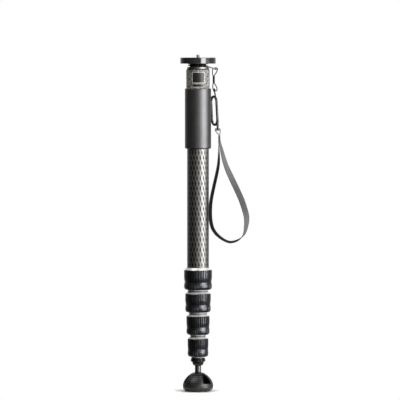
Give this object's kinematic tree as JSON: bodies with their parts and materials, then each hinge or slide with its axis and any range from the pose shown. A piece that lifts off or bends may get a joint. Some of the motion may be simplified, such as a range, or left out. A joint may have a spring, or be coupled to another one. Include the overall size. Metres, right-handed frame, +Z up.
{
  "type": "camera monopod",
  "caption": "Telescoping carbon monopod with twist locks, foam hand grip, round camera plate and stud, ball-jointed rubber foot and a wrist strap on a snap hook.",
  "frame": {"origin": "centre of the sole's flat on the floor, with the monopod folded and upright", "axes": "+Z up along the tubes to the camera stud, +X to the side where the strap hangs, -Y to the front"},
  "size_m": [0.1174, 0.0604, 0.5726],
  "materials": {
    "black_anodised": "satin black anodising",
    "hammertone": "grey hammertone paint",
    "bright_alloy": "turned bright",
    "steel": "polished",
    "carbon": "clear-coated carbon weave",
    "foam_rubber": "matt grip foam",
    "black_rubber": "matt moulded rubber",
    "guide_plastic": "natural acetal",
    "hook_metal": "gloss black",
    "cord": "braided cord",
    "webbing": "woven webbing"
  },
  "bodies": {
    "upper": {"camera_stud": "steel", "top_plate": "black_anodised", "head_bolt": "steel", "neck": "black_anodised", "neck_washer": "bright_alloy", "head_gasket": "black_rubber", "head_casting": "hammertone", "hand_grip": "foam_rubber", "tube_1": "carbon", "lock_1_ferrule": "bright_alloy", "lock_1_collet": "guide_plastic"},
    "lock_1": {"lock_1_collar": "bright_alloy", "lock_1_grip": "black_rubber", "lock_1_seal": "black_rubber"},
    "lock_2": {"lock_2_collar": "bright_alloy", "lock_2_grip": "black_rubber", "lock_2_seal": "black_rubber"},
    "lock_3": {"lock_3_collar": "bright_alloy", "lock_3_grip": "black_rubber", "lock_3_seal": "black_rubber"},
    "lock_4": {"lock_4_collar": "bright_alloy", "lock_4_grip": "black_rubber", "lock_4_seal": "black_rubber"},
    "section_2": {"tube_2": "carbon", "tube_2_guides": "guide_plastic", "lock_2_ferrule": "bright_alloy", "lock_2_collet": "guide_plastic"},
    "section_3": {"tube_3": "carbon", "tube_3_guides": "guide_plastic", "lock_3_ferrule": "bright_alloy", "lock_3_collet": "guide_plastic"},
    "section_4": {"tube_4": "carbon", "tube_4_guides": "guide_plastic", "lock_4_ferrule": "bright_alloy", "lock_4_collet": "guide_plastic"},
    "section_5": {"tube_5": "carbon", "tube_5_guides": "guide_plastic", "end_socket": "black_anodised"},
    "foot_stud": {"ball_stud": "steel"},
    "foot": {"foot_cup": "black_anodised", "foot_pad": "black_rubber"},
    "lanyard": {"strap_bail": "steel", "lanyard_upper": "cord", "lanyard_crimp": "cord", "lanyard_lower": "cord", "hook_body": "hook_metal", "gate_pin": "steel"},
    "gate": {"hook_gate": "hook_metal"},
    "strap": {"swivel_eye": "hook_metal", "wrist_strap": "webbing"}
  },
  "joints": [
    {"name": "section_2_slide", "type": "slide", "parent": "upper", "child": "section_2", "axis": [0, 0, -1], "range_m": [0, 0.32]},
    {"name": "section_3_slide", "type": "slide", "parent": "section_2", "child": "section_3", "axis": [0, 0, -1], "range_m": [0, 0.32]},
    {"name": "section_4_slide", "type": "slide", "parent": "section_3", "child": "section_4", "axis": [0, 0, -1], "range_m": [0, 0.32]},
    {"name": "section_5_slide", "type": "slide", "parent": "section_4", "child": "section_5", "axis": [0, 0, -1], "range_m": [0, 0.32]},
    {"name": "lock_1_twist", "type": "hinge", "parent": "upper", "child": "lock_1", "pos_m": [0, 0, 0.1732], "axis": [0, 0, 1], "range_deg": [0, 90]},
    {"name": "lock_2_twist", "type": "hinge", "parent": "section_2", "child": "lock_2", "pos_m": [0, 0, 0.1348], "axis": [0, 0, 1], "range_deg": [0, 90]},
    {"name": "lock_3_twist", "type": "hinge", "parent": "section_3", "child": "lock_3", "pos_m": [0, 0, 0.0964], "axis": [0, 0, 1], "range_deg": [0, 90]},
    {"name": "lock_4_twist", "type": "hinge", "parent": "section_4", "child": "lock_4", "pos_m": [0, 0, 0.0588], "axis": [0, 0, 1], "range_deg": [0, 90]},
    {"name": "foot_swivel", "type": "hinge", "parent": "section_5", "child": "foot_stud", "pos_m": [0, 0, 0.0215], "axis": [0, 0, 1], "continuous": true},
    {"name": "foot_tilt", "type": "hinge", "parent": "foot_stud", "child": "foot", "pos_m": [0, 0, 0.0215], "axis": [1, 0, 0], "range_deg": [-10, 10]},
    {"name": "bail_swivel", "type": "hinge", "parent": "upper", "child": "lanyard", "pos_m": [0, 0, 0.55435], "axis": [0, 0, 1], "continuous": true},
    {"name": "gate_hinge", "type": "hinge", "parent": "lanyard", "child": "gate", "pos_m": [0.02368, 0.0088, 0.466], "axis": [0.8669, 0.4985, 0.0061], "range_deg": [0, 25], "stiffness_Nm_per_rad": 0.06, "springref_deg": -20.05},
    {"name": "strap_swivel", "type": "hinge", "parent": "lanyard", "child": "strap", "pos_m": [0.0333, -0.00779, 0.445], "axis": [0, 0, 1], "range_deg": [-10, 90]}
  ]
}
